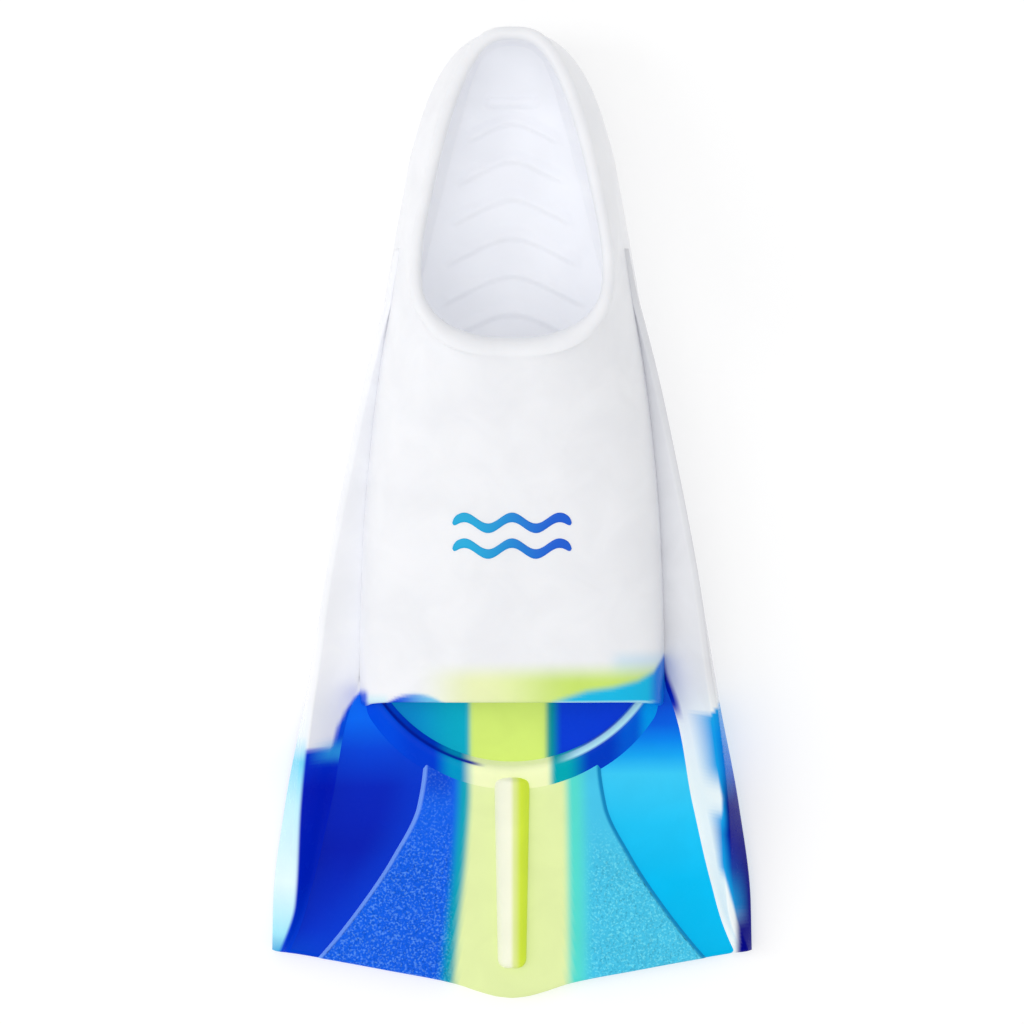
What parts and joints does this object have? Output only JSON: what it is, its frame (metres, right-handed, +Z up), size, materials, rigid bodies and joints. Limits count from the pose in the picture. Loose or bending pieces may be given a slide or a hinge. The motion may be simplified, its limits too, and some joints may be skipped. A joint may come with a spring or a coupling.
{
  "type": "swim training fin",
  "caption": "Short soft swim fin with an open toe, a closed heel cup, tapered side rails and a ribbed blade that bends in front of the toes.",
  "frame": {"origin": "on the floor under the middle of the fin's box, with the fin lying on its sole", "axes": "+Z up from the sole to the instep, +Y from the blade's tip to the heel, X across the foot"},
  "size_m": [0.183, 0.3651, 0.0775],
  "materials": {
    "pearl_silicone": "satin moulded silicone, pearl white",
    "footbed_silicone": "satin moulded silicone, shaded white",
    "sole_silicone": "satin moulded silicone, white",
    "swirl_silicone": "glossy moulded silicone, teal and blue with a lime swirl",
    "textured_silicone": "fine pebble texture, blue to lime to cyan swirl",
    "channel_right_silicone": "glossy smooth silicone, cyan",
    "channel_left_silicone": "glossy smooth silicone, royal blue",
    "rail_silicone": "satin silicone, pearl white running into blue",
    "rib_silicone": "satin silicone, lime",
    "mark_ink": "thin flexible silicone ink, cyan to blue"
  },
  "bodies": {
    "foot_pocket": {"foot_pocket_shell": "pearl_silicone", "cover_front_bead": "pearl_silicone", "outsole": "sole_silicone", "footbed": "footbed_silicone", "footbed_ridges": "footbed_silicone", "sole_tread": "sole_silicone", "heel_pad": "sole_silicone", "opening_rim": "pearl_silicone", "toe_floor": "swirl_silicone", "toe_lip": "swirl_silicone", "rail_rear_right": "pearl_silicone", "rail_rear_left": "pearl_silicone", "web_root": "textured_silicone", "channel_root_right": "channel_right_silicone", "channel_root_left": "channel_left_silicone", "printed_mark": "mark_ink", "web_flex": "textured_silicone", "channel_flex_right": "channel_right_silicone", "channel_flex_left": "channel_left_silicone", "rail_flex_right": "rail_silicone", "rail_flex_left": "rail_silicone"},
    "blade": {"centre_panel": "textured_silicone", "centre_rib": "rib_silicone", "keel_rib": "textured_silicone", "channel_panel_right": "channel_right_silicone", "channel_panel_left": "channel_left_silicone", "rail_blade_right": "rail_silicone", "rail_blade_left": "rail_silicone"}
  },
  "joints": [
    {"name": "blade_flex", "type": "hinge", "parent": "foot_pocket", "child": "blade", "pos_m": [0, -0.1068, 0.0115], "axis": [1, 0, 0], "range_deg": [-25, 25], "stiffness_Nm_per_rad": 4, "deforming": ["web_flex", "channel_flex_right", "channel_flex_left", "rail_flex_right", "rail_flex_left"]}
  ]
}
